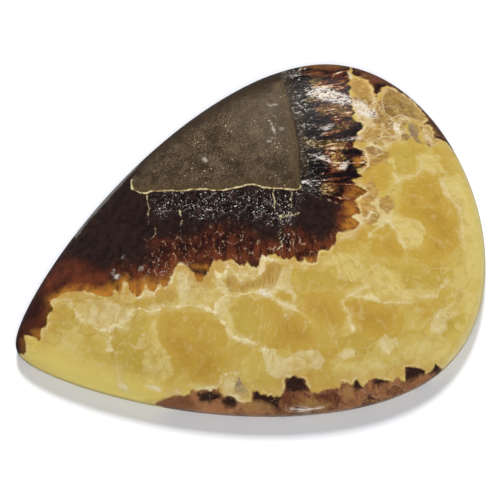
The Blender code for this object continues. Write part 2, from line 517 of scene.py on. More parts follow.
# Streaks of the crystals that fan out to the right of the mudstone: clear black, gold and white ones.
# The white ones are partly white crystals and partly painted glare and glints, on the fan and elsewhere.
BLACK_STREAKS = [
    [(320, 137), (330, 131), (345, 127), (352, 121), (358, 121), (364, 125), (360, 131), (354, 136),
     (345, 139), (333, 142), (321, 143)],
    [(344, 149), (350, 149), (356, 150), (362, 153), (357, 157), (350, 158), (345, 162), (343, 156)],
    [(301, 166), (318, 164), (330, 169), (340, 171), (355, 170), (360, 174), (357, 178), (345, 178),
     (330, 177), (315, 176), (302, 178)],
    [(310, 146), (320, 148), (330, 153), (329, 155), (315, 154), (305, 151)],
    [(302, 128), (312, 126), (321, 130), (320, 138), (308, 137), (301, 134)],
    [(302, 79), (312, 77), (313, 80), (308, 86), (298, 88), (288, 86), (285, 80), (292, 78)],
    [(308, 103), (312, 102.5), (319, 103.5), (314, 105.5), (309, 105)],
    [(306, 112), (318, 113), (332, 116), (334, 123), (318, 126), (304, 121)],
    [(346, 160), (352, 158), (353, 168), (346, 169)],
    [(285, 380), (293, 375), (303, 379), (309, 390), (300, 391), (286, 391)],
    [(198, 394), (209, 391), (219, 394), (220, 399), (210, 402), (200, 400)],
    [(221, 400), (229, 397), (238, 401), (236, 406), (226, 408)],
    [(253, 390), (265, 395), (280, 397), (278, 408), (268, 403), (253, 401)],
    [(353, 387), (354, 380), (358, 379), (362, 387), (357, 390)],
    [(374, 380), (381, 377), (389, 380), (382, 384), (374, 386)],
    [(405, 366), (415, 365), (426, 368), (425, 374), (417, 377), (410, 380), (404, 380)],
    [(430, 370), (435, 363), (442, 369), (437, 374), (430, 374)],
    [(373, 84), (384, 83), (388, 85), (382, 89), (377, 96), (375, 90)],
]
GOLD_STREAKS = [
    [(306, 100), (312, 97), (321, 97), (322, 100), (313, 102), (307, 102)],
    [(328, 104), (340, 105), (351, 109), (354, 113), (345, 114), (334, 113)],
    [(319, 108), (327, 106), (328, 110), (323, 113), (319, 111)],
    [(320, 143), (333, 140), (346, 142), (345, 148), (335, 150), (322, 148)],
    [(331, 154), (340, 152), (344, 158), (342, 166), (335, 166), (330, 161)],
    [(303, 138), (318, 142), (322, 148), (310, 146), (302, 144)],
    [(340, 126), (352, 122), (345, 128), (334, 131)],
    [(309, 80), (320, 78), (321, 84), (312, 85)],
    [(321, 187), (331, 184), (337, 188), (331, 193), (322, 193)],
    [(152, 246), (159, 246), (160, 256), (155, 255)],
    [(160, 206), (172, 205), (176, 212), (164, 214)],
    [(343, 390), (350, 386), (352, 396), (346, 400)],
    [(238, 402), (262, 402), (272, 409), (248, 412)],
    [(300, 403), (312, 399), (330, 405), (322, 409), (304, 408)],
]
WHITE_STREAKS_AND_GLARE = [
    [(306, 91), (316, 87), (328, 87), (338, 91), (350, 97), (352, 104), (342, 105), (330, 102), (318, 99),
     (309, 96)],
    [(321, 128), (330, 124), (334, 124), (333, 127), (325, 131)],
    [(312, 154), (325, 155), (330, 159), (332, 163), (325, 161), (316, 157)],
    [(340, 165), (345, 162), (349, 160), (347, 166), (345, 170), (341, 169)],
    [(337, 140), (350, 138), (361, 136), (360, 139), (348, 140)],
    [(348, 72), (350, 73), (353, 78), (351, 80), (349, 77)],
    [(352, 101), (358, 99), (366, 104), (375, 110), (378, 116), (371, 119), (362, 116), (355, 110)],
    [(286, 409), (300, 406.5), (312, 407.5), (324, 407), (318, 410), (300, 412)],
    [(202.5, 159), (204.5, 157.3), (207, 160.5), (205.8, 163), (204, 161)],
    [(267, 104.3), (277, 104.6), (275, 106.2), (269, 106)],
    [(270, 121), (274, 127), (276, 134), (273, 131), (270, 125)],
    [(266, 141), (270, 138), (272, 138), (269, 142)],
    [(280, 128), (283, 128), (283, 130), (280, 130)],
    [(113, 276), (116, 274), (120, 275), (119, 278), (116, 279), (114, 278)],
    [(112, 271), (115, 269), (114, 272), (112, 275)],
    [(139, 267), (143, 267), (142, 271), (140, 270)],
    [(122, 258), (124, 254), (125, 258)],
    [(178, 262.5), (188, 264), (187, 265.5), (179, 264)],
    [(284, 315), (286, 313.5), (288.5, 317), (287, 319)],
    [(256, 291), (263, 289), (270, 293), (275, 297), (268, 297), (260, 294)],
]
# Cracks in the coat, filled with cream calcite
CRACKS = [
    [(147, 194), (147, 200), (149, 208), (148, 216), (149, 224)],
    [(179, 208), (180, 214), (182, 220), (180, 227), (181, 235), (181, 241)],
    [(274, 189), (273, 194), (275, 200), (274, 208), (276, 213), (280, 216), (281, 222), (281, 230),
     (280, 236), (281, 242), (283, 246), (280, 247), (276, 251)],
    [(280, 215), (286, 216), (291, 215), (297, 214), (299, 213)],
    [(289, 210), (291, 216)],
    [(292, 192), (291, 200), (292, 207)],
    [(293, 232), (294, 240), (293, 248)],
    [(153, 238), (156, 232), (155, 226)],
]
# Where a painted reflection lightens the mudstone
MUD_REFLECTION = [
    (238, 96), (262, 88), (283, 82), (288, 100), (293, 122), (296, 142), (280, 150), (262, 146), (244, 138),
    (232, 118),
]
# Where that fan of crystals lies
COLUMNS = [
    (278, 66), (300, 60), (352, 56), (368, 125), (368, 190), (340, 202), (318, 196), (301, 190), (301, 150),
    (297, 130), (290, 104), (283, 84),
]
# A stretch of the girdle on the tip's side where a grey reflection is painted, and the polish is a touch
# duller
RIM_REFLECTION_BAND = [
    (76, 239), (89, 221.5), (101, 208.5), (112.5, 195.5), (125, 181.5), (136, 169.5), (144, 159.5),
    (152, 150), (148, 144), (120, 163), (90, 203), (70, 232),
]

# The calcite's crystals, by how clear they are
GOLDEN_CRYSTALS = [
    [(160, 313), (170, 309), (180, 307.5), (190, 310), (200, 310), (208, 311), (210, 318), (216, 316),
     (220, 321), (226, 328), (231, 337), (230, 345), (228, 352), (226, 360), (225, 368), (222, 376),
     (217, 383), (210, 386), (200, 385), (193, 386), (189, 380), (183, 375), (177, 370), (172, 360),
     (166, 352), (160, 345), (157, 335), (157, 322)],
    [(160, 382), (166, 377), (172, 372), (176, 377), (175, 391), (160, 393)],
    [(263, 301), (275, 302), (283, 309), (295, 311), (302, 315), (310, 321), (314, 328), (318, 338),
     (316, 349), (305, 350), (292, 352), (280, 352), (268, 350), (262, 344), (266, 330), (264, 315)],
    [(302, 296), (310, 292), (320, 291), (330, 294), (338, 300), (343, 308), (346, 316), (345, 325),
     (340, 331), (332, 332), (322, 328), (312, 320), (303, 313), (300, 305)],
    [(343, 301), (352, 300), (362, 299), (372, 301), (384, 304), (395, 305), (400, 306), (400, 312),
     (402, 320), (399, 330), (388, 336), (376, 335), (362, 336), (352, 332), (351, 325), (349, 316),
     (345, 308)],
    [(415, 303), (425, 300), (431, 305), (431, 315), (424, 318), (418, 312)],
    [(400, 181), (405, 177), (416, 176), (420, 171), (428, 171), (433, 173), (440, 174), (441, 185),
     (445, 193), (450, 200), (451, 208), (455, 214), (458, 224), (460, 235), (458, 245), (450, 256),
     (435, 262), (420, 262), (410, 258), (405, 252), (403, 246), (412, 248), (424, 246), (425, 232),
     (420, 222), (404, 216), (398, 205), (399, 190)],
    [(369, 236), (378, 228), (384, 222), (387, 220), (391, 226), (398, 235), (402, 246), (406, 256),
     (402, 262), (385, 258), (370, 256), (368, 245)],
    [(377, 164), (384, 165), (391, 170), (393, 178), (388, 190), (378, 192), (371, 188), (370, 176)],
    [(229, 270), (233, 274), (238, 281), (241, 282.5), (246, 276), (250, 279), (254, 281), (259, 277),
     (263, 269), (272, 268), (279, 270), (276, 280), (271, 290), (262, 289), (253, 291), (243, 292),
     (235, 291), (226, 288), (226, 277)],
    [(280, 292), (291, 293), (290, 303), (285, 303)],
    [(340, 239), (352, 236), (363, 230), (367, 240), (360, 246), (348, 248), (341, 246)],
    [(316, 350), (336, 349), (342, 359), (330, 362), (322, 358)],
    [(356, 80), (362, 81), (367, 87), (369, 94), (363, 97), (356, 94)],
    [(434, 148), (446, 146), (456, 160), (463, 174), (446, 174), (443, 164)],
    [(378, 100), (384, 96), (384, 106), (380, 106)],
    [(361, 149), (369, 140), (376, 146), (388, 149), (387, 160), (378, 165), (371, 176), (371, 188),
     (377, 193), (378, 200), (366, 200), (357, 190), (363, 178), (357, 164)],
    [(366, 208), (378, 206), (385, 214), (382, 222), (372, 226), (362, 220)],
]
OLIVE_CRYSTALS = [
    [(112, 327), (120, 328), (130, 325), (136, 315), (145, 313), (150, 318), (147, 326), (143, 335),
     (138, 341), (134, 351), (144, 352), (145, 380), (143, 388), (139, 397), (128, 394), (120, 385),
     (118, 370), (117, 352), (113, 346), (111, 336)],
    [(56, 303), (62, 300), (70, 300), (73, 306), (78, 312), (82, 320), (80, 328), (70, 333), (60, 333),
     (51, 330), (49, 322), (52, 315)],
    [(120, 298), (128, 299), (136, 299), (144, 297), (150, 298), (152, 307), (142, 309), (134, 308),
     (126, 306)],
    [(156, 293), (168, 289), (178, 290), (181, 302), (168, 303), (156, 304)],
    [(72, 295), (82, 295), (88, 297), (87, 300), (76, 301)],
    [(236, 298), (250, 297), (262, 300), (264, 315), (266, 330), (262, 344), (250, 341), (238, 338),
     (230, 330), (228, 318)],
    [(385, 150), (400, 147), (418, 150), (418, 165), (416, 175), (400, 176), (397, 181), (393, 174),
     (388, 168), (385, 160)],
    [(430, 305), (440, 308), (437, 314), (432, 316)],
    [(446, 322), (455, 314), (464, 312), (465, 322), (458, 328), (448, 327)],
    [(362, 270), (371, 262), (400, 264), (440, 264), (448, 270), (438, 290), (425, 292), (404, 288),
     (398, 272)],
    [(300, 270), (330, 268), (337, 274), (352, 280), (356, 288), (340, 290), (318, 288), (302, 290)],
    [(337, 338), (352, 334), (376, 337), (380, 345), (372, 355), (352, 348), (340, 348)],
]
PALE_CRYSTALS = [
    [(146, 330), (152, 316), (158, 318), (158, 340), (166, 353), (172, 362), (176, 372), (166, 377),
     (159, 382), (158, 390), (146, 389), (145, 352)],
    [(190, 286), (200, 284), (212, 286), (219, 292), (217, 300), (210, 307), (195, 305), (188, 303)],
    [(232, 318), (228, 310), (236, 298), (226, 300), (222, 318), (226, 326), (232, 336), (236, 334)],
    [(292, 262), (316, 262), (328, 256), (336, 250), (350, 252), (362, 262), (358, 280), (338, 276),
     (330, 268), (300, 270)],
    [(370, 262), (384, 264), (398, 274), (402, 288), (420, 294), (402, 299), (382, 297), (366, 294),
     (362, 280)],
    [(392, 214), (404, 216), (420, 222), (426, 232), (424, 246), (412, 248), (405, 249), (400, 240),
     (391, 226), (388, 220)],
    [(461, 205), (480, 205), (488, 260), (484, 300), (470, 340), (465, 310), (466, 270), (462, 240)],
    [(421, 157), (425, 153), (431, 151), (437, 156), (440, 163), (444, 171.5), (435, 172), (430, 171),
     (426, 169), (421, 168)],
    [(444, 176), (458, 176), (468, 196), (474, 214), (462, 210), (452, 199), (446, 190)],
    [(388, 160), (396, 156), (398, 172), (392, 172)],
    [(330, 362), (350, 360), (380, 354), (384, 372), (360, 378), (345, 380), (334, 376)],
    [(402, 346), (420, 338), (440, 336), (450, 345), (440, 360), (420, 366), (402, 364)],
]
CREAM_CRYSTALS = [
    [(76, 303), (90, 300), (104, 300), (118, 301), (127, 307), (131, 315), (124, 322), (112, 326),
     (111, 331), (100, 329), (88, 325), (82, 318), (79, 310)],
    [(181, 266), (190, 270), (194, 277), (200, 286), (190, 287), (180, 290), (176, 282), (176, 272)],
    [(180, 288), (189, 288), (190, 304), (181, 304)],
    [(216, 304), (224, 298), (230, 300), (228, 316), (222, 319), (216, 313)],
    [(281, 268), (291, 262), (292, 270), (290, 284), (292, 292), (284, 290), (272, 291), (277, 281)],
    [(262, 352), (272, 351), (281, 354), (290, 357), (302, 352), (318, 351), (322, 360), (318, 366),
     (305, 366), (296, 370), (284, 372), (278, 378), (272, 376), (266, 366)],
    [(109, 336), (112, 338), (113, 346), (116, 352), (110, 351)],
    [(137, 341), (139, 337), (145, 336), (146, 350), (135, 350)],
    [(368, 199), (379, 196), (391, 206), (392, 214), (386, 222), (378, 224), (370, 222), (368, 210)],
    [(340, 354), (344, 350), (354, 352), (356, 358), (346, 360)],
    [(380, 343), (386, 337), (394, 338), (396, 346), (390, 352), (384, 350)],
    [(430, 320), (438, 316), (446, 320), (450, 330), (440, 336), (430, 332)],
    [(240, 263), (246, 272), (241, 280), (236, 275), (230, 266), (234, 262)],
    [(248, 265), (256, 269), (262, 260), (256, 276), (252, 278), (248, 273)],
    [(222, 388), (224, 380), (229, 377), (235, 379), (234, 390), (228, 396), (222, 396)],
]
# Cloudy white calcite, broken into sugary crystals
SUGARY_CRYSTALS = [
    [(352, 98), (365, 98), (376, 98), (384, 104), (386, 114), (396, 118), (406, 117), (410, 122),
     (402, 130), (408, 138), (400, 142), (388, 142), (386, 148), (378, 146), (370, 143), (360, 145),
     (355, 139), (366, 126), (358, 119), (354, 110)],
    [(420, 124), (430, 125), (434, 138), (440, 140), (430, 146), (422, 140)],
]
# Small drifts of the same along the seams
CRUMBLY_DRIFTS = [
    [(213, 279), (220, 278), (226, 284), (232, 291), (228, 299), (222, 296), (216, 290)],
    [(177, 272), (184, 270), (190, 280), (188, 290), (180, 294), (177, 287)],
    [(252, 293), (258, 290), (265, 288), (275, 292), (279, 300), (292, 302), (294, 293), (298, 296),
     (297, 308), (288, 309), (280, 304), (270, 299), (260, 296)],
    [(112, 318), (122, 316), (130, 310), (134, 312), (130, 322), (120, 323)],
    [(148, 306), (162, 303), (168, 304), (164, 309), (150, 312)],
    [(236, 339), (246, 337), (258, 343), (252, 346), (240, 344)],
    [(222, 384), (224, 378), (232, 378), (234, 388), (230, 394), (223, 394)],
]
# Duller brown crystals between the teeth of the coat
BROWN_CRYSTALS = [
    [(229, 272), (236, 279), (241, 284), (246, 278), (251, 280), (256, 281), (262, 270), (266, 262),
     (276, 262), (281, 268), (278, 278), (272, 289), (262, 289), (250, 291), (230, 291), (225, 284)],
    [(365, 184), (372, 178), (380, 192), (376, 200), (366, 202), (358, 192)],
    [(360, 205), (368, 202), (376, 208), (380, 218), (370, 226), (361, 220), (357, 212)],
    [(196, 262), (206, 270), (203, 280), (194, 274), (190, 268)],
    [(376, 198), (388, 194), (396, 206), (388, 214), (380, 208)],
    [(350, 78), (358, 78), (366, 82), (371, 91), (373, 98), (366, 99), (356, 95), (351, 88)],
    [(366, 126), (376, 124), (386, 128), (394, 134), (388, 142), (378, 146), (368, 144), (362, 138)],
    [(356, 148), (366, 148), (384, 147), (390, 152), (386, 163), (374, 168), (366, 174), (356, 170)],
]
TAN_CRYSTALS = [
    [(383, 95), (388, 88), (398, 91), (408, 97), (416, 106), (424, 114), (427, 122), (418, 121), (408, 117),
     (400, 115), (392, 118), (385, 113), (382, 103)],
    [(364, 147), (372, 145), (380, 148), (383, 153), (376, 156), (367, 154)],
]
CLEAR_CRYSTALS = [
    [(408, 124), (413, 122), (417, 125), (419, 130), (418, 138), (423, 144), (416, 142), (410, 135),
     (408, 130)],
    [(233, 396), (235, 384), (239, 376), (243, 384), (248, 390), (249, 397), (243, 400)],
    [(368, 112), (375, 112), (376, 118), (370, 118)],
]
# Cream seams between the crystals, and round the teeth of the coat
SEAMS = [
    [(128, 285), (130, 292), (134, 297), (139, 298), (143, 295), (146, 289)],
    [(146, 289), (149, 293), (153, 294.5), (156, 291), (158, 286), (160, 282)],
    [(123, 299), (124, 290), (124, 284), (127, 280.5)],
    [(161, 286), (165, 289), (170, 282), (173, 275), (176, 269)],
    [(193, 272), (200, 272.5), (208, 273)],
    [(213, 264), (215, 270), (219, 277), (224, 277), (227, 271), (226, 263)],
    [(227, 264), (233, 271), (238, 279), (241, 281.5), (244, 277), (248, 273.5), (251, 276.5), (254, 279),
     (258, 274), (262, 267), (264, 260)],
    [(262, 258), (270, 259), (280, 260), (288, 262)],
    [(338, 232), (345, 234), (352, 232), (360, 226), (364, 222)],
    [(353, 216), (360, 219), (368, 218), (370, 213)],
    [(356, 201), (362, 197), (369, 193), (365, 188), (358, 183)],
    [(340, 239), (345, 236.5), (350, 236.5), (353, 233)],
    [(369, 237), (372, 232), (377, 228), (383, 225)],
    [(388, 221), (391, 225), (398, 233), (401, 241), (405, 250)],
    [(112, 326), (116, 324), (121, 327), (128, 329)],
    [(110, 338), (110, 350), (116, 352), (118, 372), (119, 382), (128, 392)],
    [(128, 316), (133, 309), (141, 309), (150, 312), (160, 309), (166, 306), (178, 307), (190, 305),
     (203, 307), (210, 310), (215, 313), (220, 319), (226, 326), (231, 335), (240, 341), (248, 341),
     (255, 344), (260, 347), (266, 351)],
    [(216, 308), (219, 301), (224, 296), (233, 295), (245, 294), (255, 291), (262, 290), (270, 289),
     (280, 287)],
    [(145, 386), (152, 387), (160, 389)],
    [(190, 385), (196, 388), (205, 389), (215, 388), (221, 382), (226, 374), (235, 373)],
    [(343, 300), (345, 308), (349, 314), (349, 322), (353, 328)],
    [(346, 297), (355, 293), (360, 290), (366, 287)],
    [(352, 296), (362, 297), (372, 299), (384, 303), (392, 302), (402, 303), (410, 303), (425, 296),
     (437, 295), (440, 290), (447, 281)],
    [(281, 303), (286, 307), (292, 308), (300, 312)],
    [(380, 343), (384, 350), (388, 352)],
    [(437, 316), (441, 312), (446, 316), (448, 319), (455, 312)],
    [(393, 172), (398, 181), (401, 178), (408, 176), (416, 176), (419, 171)],
    [(420, 158), (422, 168), (431, 172), (444, 172)],
    [(442, 178), (443, 186), (447, 194), (453, 201), (459, 209), (462, 222), (462, 232), (463, 238)],
    [(370, 144), (375, 146), (380, 148), (385, 148), (388, 144)],
    [(169, 394), (176, 393), (182, 393)],
    [(284, 391), (281, 396), (283, 404)],
    [(56, 302), (60, 300), (70, 299), (72, 306), (78, 312), (83, 322), (90, 326), (100, 330), (109, 331)],
    [(222, 396), (232, 396), (240, 401), (250, 400)],
    [(368, 83), (372, 90), (374, 98), (380, 93), (386, 89)],
    [(354, 112), (360, 119), (366, 126), (360, 132), (356, 138)],
    [(356, 150), (364, 153), (369, 158), (368, 166), (361, 172)],
]

RIM_REFLECTION_RISE = 0.25                 # how far under the girdle's top, in mm, the painted reflection still shows
above_girdle = (surface[:, 2] - GIRDLE_TOP) * MM
growth = nearest_on(seen_at(MUDSTONE_FACES))
marks = {
    "mud_face": along([MUDSTONE_LOWER_FACE]),
    "mud_side": along([MUDSTONE_RIGHT_FACE]),
    "crack": along(CRACKS),
    "seam": along(SEAMS),
    "scuff": np.minimum(inside([RIM_REFLECTION_BAND]), above_girdle + RIM_REFLECTION_RISE),
    "thin_edge": share_out(surface[:, 0], surface[:, 1]),
    "growth": np.stack([growth[1], growth[0], surface[:, 2] * MM], 1),
}
outlines_by_mark = {
    "mudstone": [MUDSTONE], "mud_light": [MUD_REFLECTION], "columns": [COLUMNS], "brown_coat": [BROWN_COAT],
    "brown_rim": BROWN_RIMS, "red": RED_PARTS, "amber": AMBER_TIPS, "flecked": FLECKED,
    "black_streak": BLACK_STREAKS, "gold_streak": GOLD_STREAKS, "white_streak": WHITE_STREAKS_AND_GLARE,
    "golden": GOLDEN_CRYSTALS, "olive": OLIVE_CRYSTALS, "pale": PALE_CRYSTALS, "cream": CREAM_CRYSTALS,
    "sugary": SUGARY_CRYSTALS, "tan": TAN_CRYSTALS, "crumbly": CRUMBLY_DRIFTS, "brown": BROWN_CRYSTALS,
    "clear": CLEAR_CRYSTALS,
}
for name, outlines in outlines_by_mark.items():
    marks[name] = inside(outlines)
for name, values in marks.items():
    mark(name, values)


# The colours of the minerals, as the polished stone shows them
STUDIO_GAIN = 1.12                # the light on the stone, over the light that shows its colours unchanged


def light_of(level):
    """The light that one of a screen's levels, 0 to 255, stands for."""
    share = level / 255
    return ((share + 0.055) / 1.055) ** 2.4 if share > 0.04 else share / 12.92


def pigment(red, green, blue):
    """A colour given as the photograph's own levels, 0 to 255."""
    return *(light_of(level) / STUDIO_GAIN for level in (red, green, blue)), 1


# Calcite
CALCITE = pigment(194, 166, 78)
CALCITE_CLOUD = pigment(205, 183, 105)
GOLDEN = pigment(189, 156, 66)
GOLDEN_DEEP = pigment(177, 140, 52)
OLIVE = pigment(184, 158, 68)
PALE = pigment(209, 189, 118)
CREAM = pigment(214, 197, 146)
# Painted light at the calcite's thin edge
EDGE_PAINTED_LIGHT = pigment(238, 218, 122)
SUGAR_LIGHT = pigment(229, 217, 176)
CLEAR_GREY = pigment(122, 98, 90)
SEAM_CREAM = pigment(228, 211, 164)
SEAM_GOLD = pigment(164, 138, 84)
TEETH_TAN = pigment(168, 136, 76)
CRYSTAL_BROWN = pigment(150, 113, 58)
CRYSTAL_FAWN = pigment(182, 147, 82)
CLEAR_PALE = pigment(152, 136, 110)
# A painted highlight along the very edge
EDGE_HIGHLIGHT_WHITE = pigment(244, 234, 190)
FRONT_GOLD = pigment(188, 140, 72)
SUGAR_STOPS = (
    (0.39, pigment(110, 76, 48)), (0.46, pigment(150, 114, 72)), (0.51, pigment(178, 146, 100)),
    (0.57, pigment(208, 186, 148)), (0.65, pigment(232, 224, 208)),
)
TAN_STOPS = ((0.36, pigment(86, 56, 34)), (0.5, pigment(124, 90, 55)), (0.64, pigment(168, 136, 92)))
# Mudstone
MUD_DARK = pigment(53, 41, 29)
MUD_PALE = pigment(113, 96, 75)
# The grey of a reflection painted on the mudstone
MUD_REFLECTION_GREY = pigment(132, 118, 98)
MUD_OLIVE = pigment(82, 66, 38)
# The brown of a band of painted shade behind the mudstone
SHADE_BAND_BROWN = pigment(66, 52, 36)
# The grey of a reflection painted on the girdle
RIM_REFLECTION_GREY = pigment(128, 124, 120)
# Aragonite: the coat, the clear tips of its teeth, and the needles and columns that fan out
COAT_BLACK = pigment(16, 11, 12)
COAT_DARK = pigment(28, 18, 17)
COAT_BROWN = pigment(50, 33, 28)
COAT_RED_DARK = pigment(34, 16, 14)
COAT_RED = pigment(94, 45, 28)
COAT_RED_PALE = pigment(120, 62, 40)
COAT_GLOW = pigment(138, 70, 36)
TIP_DARK = pigment(44, 20, 16)
AMBER = pigment(184, 122, 44)
AMBER_ROOT = pigment(104, 56, 32)
AMBER_FIBRE = pigment(120, 66, 36)
AMBER_LOW = pigment(118, 78, 38)
STREAK_GOLD = pigment(146, 112, 50)
STREAK_STRAW = pigment(212, 180, 104)
FLECK_GREY = pigment(120, 113, 108)
# White flecks of the coat, and the colour of painted glare and glints
FLECK_AND_GLARE_WHITE = pigment(226, 218, 206)
FLECK_WARM = pigment(204, 170, 140)
NEEDLE_STOPS = (
    (0.36, pigment(12, 10, 12)), (0.47, pigment(36, 30, 28)), (0.54, pigment(84, 76, 68)),
    (0.61, pigment(150, 144, 132)), (0.70, pigment(236, 233, 226)),
)
COLUMN_STOPS = (
    (0.36, pigment(18, 9, 10)), (0.45, pigment(48, 21, 18)), (0.54, pigment(88, 41, 27)),
    (0.62, pigment(128, 72, 42)), (0.67, pigment(186, 150, 106)), (0.74, pigment(234, 222, 200)),
)
# Aragonite at the rims
RIM_DARK = pigment(64, 33, 27)
RIM_PALE = pigment(150, 99, 66)
RIM_GOLD = pigment(188, 136, 74)
RIM_MAROON = pigment(74, 36, 30)
RIM_CRYSTAL_EDGE = pigment(176, 134, 98)
RIM_LOW = pigment(184, 146, 108)
RIM_TIPWARD = pigment(178, 124, 80)
RIM_ROUND_END = pigment(168, 112, 62)
FAR_RIM_DARK = pigment(46, 20, 12)
FAR_RIM_RED = pigment(96, 48, 27)
RIM_BLACK = pigment(36, 19, 16)
RIM_STREAK = pigment(170, 130, 76)
RIM_FLECK = pigment(196, 164, 134)


# The stone's one material. Marks on its points say which mineral lies where and where light and shade are
# painted, and noise does the rest.
banded_calcite.use_nodes = True
shader = banded_calcite.node_tree.nodes["Principled BSDF"]
paint = Wire(banded_calcite.node_tree)
in_mm = paint.node("ShaderNodeTexCoord", {}, {}, "Object").stretched((MM, MM, MM))


def read(name, output="Fac"):
    """A mark that the points of the stone carry."""
    return paint.node("ShaderNodeAttribute", {"attribute_name": name}, {}, output)


def cloud(per_mm, detail=2.0, roughness=0.5, place=in_mm, stretch=(1, 1, 1), distortion=0.0):
    """Soft noise from 0 to 1, that many of its blots to a millimetre."""
    return paint.node("ShaderNodeTexNoise", {}, {
        "Vector": place.stretched(stretch), "Scale": per_mm, "Detail": detail, "Roughness": roughness,
        "Distortion": distortion,
    }, "Fac")


def stepped(value, stops):
    """A colour ramp."""
    return paint.node("ShaderNodeValToRGB", {"stops": stops}, {"Fac": value}, "Color")


def crystal_crowd(per_mm, place, stretch=(1, 1, 1)):
    """Packed crystals: three random greys for each, and how far from its edge a point lies, in mm."""
    spot = place.stretched(stretch)
    colour = paint.node("ShaderNodeTexVoronoi", {}, {"Vector": spot, "Scale": per_mm}, "Color")
    channels = ("Red", "Green", "Blue")
    greys = [paint.node("ShaderNodeSeparateColor", {}, {0: colour}, channel) for channel in channels]
    gap = paint.node("ShaderNodeTexVoronoi", {"feature": "DISTANCE_TO_EDGE"},
                     {"Vector": spot, "Scale": per_mm}, "Distance")
    return *greys, gap / per_mm


def pushed(amount, per_mm):
    """Places in mm, pushed about by a soft noise: the push in mm, and that many swings to a millimetre."""
    push = paint.node("ShaderNodeTexNoise", {}, {"Vector": in_mm, "Scale": per_mm, "Detail": 1.5}, "Color")
    push = paint.node("ShaderNodeVectorMath", {"operation": "SCALE"}, {0: push, "Scale": amount})
    return paint.node("ShaderNodeVectorMath", {"operation": "ADD"}, {0: in_mm, 1: push})


# Where a point lies, and the noises that several minerals share
along_mm = in_mm.part("X")
across_mm = in_mm.part("Y")
height_mm = in_mm.part("Z")
growth_place = read("growth", "Vector")
round_front = growth_place.part("X")       # mm along the faces of the mudstone
grown = growth_place.part("Y")             # mm that a crystal here has grown from them
bent = pushed(1.0, 1.1)
wobble = cloud(2.2, 4.0, 0.6) - 0.5
fine_wobble = cloud(6.0, 2.0) - 0.5
fibre = cloud(1.0, 4.0, 0.62, growth_place, (3.2, 0.5, 0.5), 0.3)
fine_fibre = cloud(1.0, 3.0, 0.65, growth_place, (9.0, 2.2, 2.2), 0.4)
dashes = cloud(1.0, 2.0, 0.75, growth_place, (6.5, 3.2, 3.2), 0.6)
streaks = cloud(1.0, 4.0, 0.6, growth_place, (7.0, 0.9, 0.9), 0.3)
salt = cloud(8.5, 2.0, 0.75)

# Below, a mask picks where the colour so far gives way to another: rise(low, high) says where that begins
# and where it is full, and the number after it says how strong it gets. Noise makes a mark's outline ragged.

# Calcite: clear golden crystals, cloudier pale ones, the seams between them, and painted light and a painted
# highlight at its edge
grey_one, grey_two, grey_three, crystal_gap = crystal_crowd(0.62, pushed(0.7, 1.6), (1, 1.25, 1))
broken = cloud(1.3, 4.0, 0.6)
small_grey, _, _, small_gap = crystal_crowd(1.15, pushed(0.35, 1.9), (1, 1.2, 1))
step_one = (grey_one - 0.5) * 0.55 + wobble * 0.35
step_two = (grey_two - 0.5) * 0.55 + wobble * 0.4
calcite = cloud(0.35, 4.0, 0.6).rise(0.35, 0.68).between(CALCITE, CALCITE_CLOUD)
calcite = (grey_three * 0.35).between(calcite, OLIVE)
cloudy = read("golden").rise(0.3, -0.5)
calcite = (grey_one.rise(0.56, 0.6) * cloudy * 0.4).between(calcite, PALE)
calcite = (grey_two.rise(0.62, 0.66) * cloudy * 0.35).between(calcite, GOLDEN)
calcite = ((read("olive") + step_two).rise(-0.1, 0.12) * 0.8).between(calcite, OLIVE)
gold_depth = read("golden") + step_one
calcite = ((gold_depth + wobble).rise(-2.2, 0.2) * 0.45).between(calcite, GOLDEN)
calcite = gold_depth.rise(-0.06, 0.14).between(calcite, GOLDEN)
calcite = (gold_depth.rise(0.1, 1.5) * cloud(0.4, 2.0).rise(0.3, 0.55)).between(calcite, GOLDEN_DEEP)
milky = streaks.rise(0.38, 0.58) * 0.5 + 0.4
by_teeth = read("brown_coat").rise(-2.6, -0.4) * along_mm.rise(0, -3) * cloud(1.4, 4.0, 0.7).rise(0.4, 0.56)
calcite = ((read("pale") + step_two).rise(-0.08, 0.12) * milky).between(calcite, PALE)
calcite = ((read("cream") + step_one).rise(-0.08, 0.12) * milky).between(calcite, CREAM)
calcite = ((read("crumbly") + wobble * 0.9).rise(-0.12, 0.2) * 0.6).between(
    calcite, cloud(3.0, 4.0, 0.75).rise(0.42, 0.58).between(CREAM, SUGAR_LIGHT))
calcite = (by_teeth * 0.42).between(calcite, TEETH_TAN)
calcite = ((read("sugary") + step_one).rise(-0.1, 0.15) * 0.85).between(
    calcite, stepped(cloud(1.7, 5.0, 0.72, bent) * 0.6 + small_grey * 0.24 + 0.08, SUGAR_STOPS))
calcite = ((read("brown") + step_two * 0.6).rise(-0.1, 0.15) * (along_mm.rise(2, 7) * 0.25 + 0.65)).between(
    calcite, streaks.rise(0.4, 0.6).between(CRYSTAL_BROWN, CRYSTAL_FAWN))
calcite = ((read("tan") + step_two * 0.5).rise(-0.1, 0.15) * 0.88).between(
    calcite, stepped(cloud(1.0, 5.0, 0.7, bent, (1.4, 0.7, 1)), TAN_STOPS))
cracked = (read("sugary") - read("tan").at_least(0) * 2).rise(-0.3, 0.2) * small_gap.rise(0.09, 0.03)
calcite = (cracked * broken.rise(0.44, 0.56) * 0.45).between(calcite, SUGAR_LIGHT)
tan_outline = (0.1 - abs(read("tan") + wobble * 0.2)).rise(0.0, 0.07) * broken.rise(0.36, 0.48)
calcite = (tan_outline * 0.45).between(calcite, SUGAR_LIGHT)
calcite = ((read("clear") + wobble * 0.25).rise(-0.1, 0.12) * 0.9).between(
    calcite, cloud(2.0, 3.0).rise(0.35, 0.65).between(CLEAR_GREY, CLEAR_PALE))
calcite = (streaks.rise(0.52, 0.7) * 0.3).between(calcite, CREAM)
